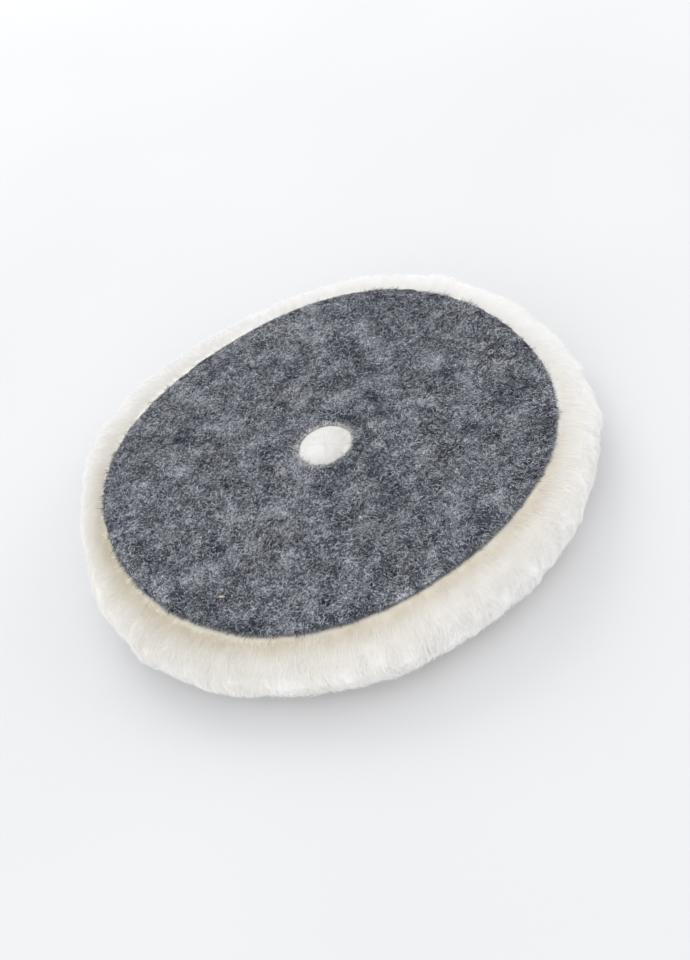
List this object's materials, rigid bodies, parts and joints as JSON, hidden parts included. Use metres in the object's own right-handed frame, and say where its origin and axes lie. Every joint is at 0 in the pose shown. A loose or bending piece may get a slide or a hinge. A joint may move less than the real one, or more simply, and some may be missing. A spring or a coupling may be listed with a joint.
{
  "type": "lambswool polishing pad",
  "caption": "Round lambswool polishing pad with a grey hook-and-loop backing, a centre hole and a thick white wool face that bulges past the rim.",
  "frame": {"origin": "on the pad's axis, in the plane of the wool tips that the pad lies on", "axes": "+Z along the pad's axis, from the working face of wool to the loop backing; the pad is round, so +X and +Y are free"},
  "size_m": [0.178, 0.178, 0.022],
  "materials": {
    "loop_fabric": "matte",
    "bonding_film": "satin",
    "lambskin": "matte",
    "wool": "matte"
  },
  "bodies": {
    "root": {"loop_backing": "loop_fabric", "bonding_film": "bonding_film", "lambskin_hide": "lambskin", "wool_fleece": "wool"}
  },
  "joints": []
}
